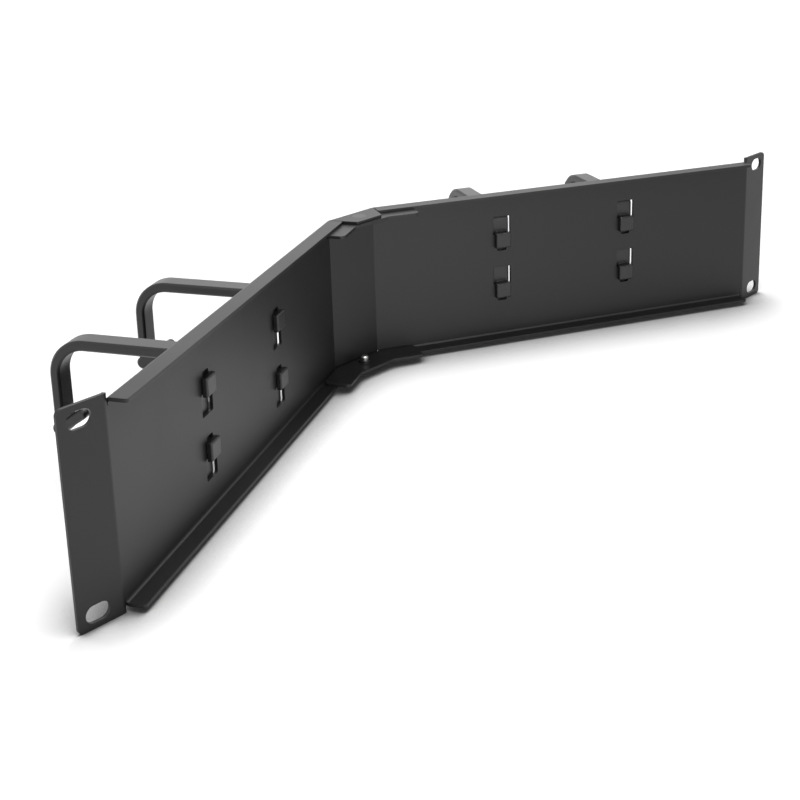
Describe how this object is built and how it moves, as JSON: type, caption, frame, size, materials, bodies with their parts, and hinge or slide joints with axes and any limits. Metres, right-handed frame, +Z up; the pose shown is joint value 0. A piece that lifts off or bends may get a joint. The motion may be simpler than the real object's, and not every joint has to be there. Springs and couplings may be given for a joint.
{
  "type": "angled cable management panel",
  "caption": "V-shaped rack panel of folded black sheet metal, two rack units high, with slotted mounting ears and clip-in cable rings on its front face.",
  "frame": {"origin": "centre of the four rack slots, in the plane of the ears' rear faces that seat on the rack", "axes": "+Z up, +X to the right seen from the front, -Y to the front, where the point of the V and the cable rings are"},
  "size_m": [0.4826, 0.1428, 0.0882],
  "materials": {
    "powder_coat": "satin black powder coat",
    "black_screw": "black coated steel",
    "zinc_screw": "bright zinc",
    "ring_plastic": "satin moulded plastic"
  },
  "bodies": {
    "root": {"panel": "powder_coat", "top_tie_plate": "powder_coat", "bottom_tie_plate": "powder_coat", "top_screw": "black_screw", "bottom_screw": "zinc_screw"},
    "right_outer_ring": {"right_outer_ring": "ring_plastic"},
    "right_inner_ring": {"right_inner_ring": "ring_plastic"},
    "left_inner_ring": {"left_inner_ring": "ring_plastic"},
    "left_outer_ring": {"left_outer_ring": "ring_plastic"}
  },
  "joints": [
    {"name": "right_outer_ring_slide", "type": "slide", "parent": "root", "child": "right_outer_ring", "axis": [0, 0, 1], "range_m": [-0.0088, 0.0018]},
    {"name": "right_inner_ring_slide", "type": "slide", "parent": "root", "child": "right_inner_ring", "axis": [0, 0, 1], "range_m": [-0.0088, 0.0018]},
    {"name": "left_inner_ring_slide", "type": "slide", "parent": "root", "child": "left_inner_ring", "axis": [0, 0, 1], "range_m": [-0.0018, 0.0088]},
    {"name": "left_outer_ring_slide", "type": "slide", "parent": "root", "child": "left_outer_ring", "axis": [0, 0, 1], "range_m": [-0.0018, 0.0088]}
  ]
}
